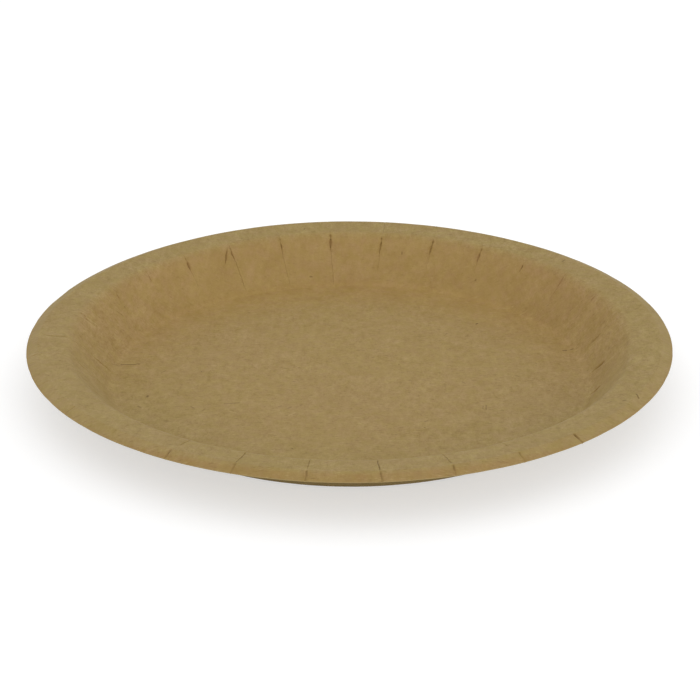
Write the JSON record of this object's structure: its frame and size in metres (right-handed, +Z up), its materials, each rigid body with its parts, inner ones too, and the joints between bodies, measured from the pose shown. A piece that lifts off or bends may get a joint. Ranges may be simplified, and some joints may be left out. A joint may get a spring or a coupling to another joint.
{
  "type": "paper plate",
  "caption": "Round kraft paper plate with a flat floor, a sloped wall of radial pleats, a nearly flat rim and a narrow turned-down lip, for serving food.",
  "frame": {"origin": "middle of the floor's flat underside, on the surface that the plate stands on", "axes": "+Z up along the plate's round axis, out of the well; +X along one of the pleats"},
  "size_m": [0.23, 0.23, 0.0186],
  "materials": {
    "kraft_board": "matt unbleached brown kraft board with fine darker and lighter fibres"
  },
  "bodies": {
    "root": {"plate": "kraft_board"}
  },
  "joints": []
}
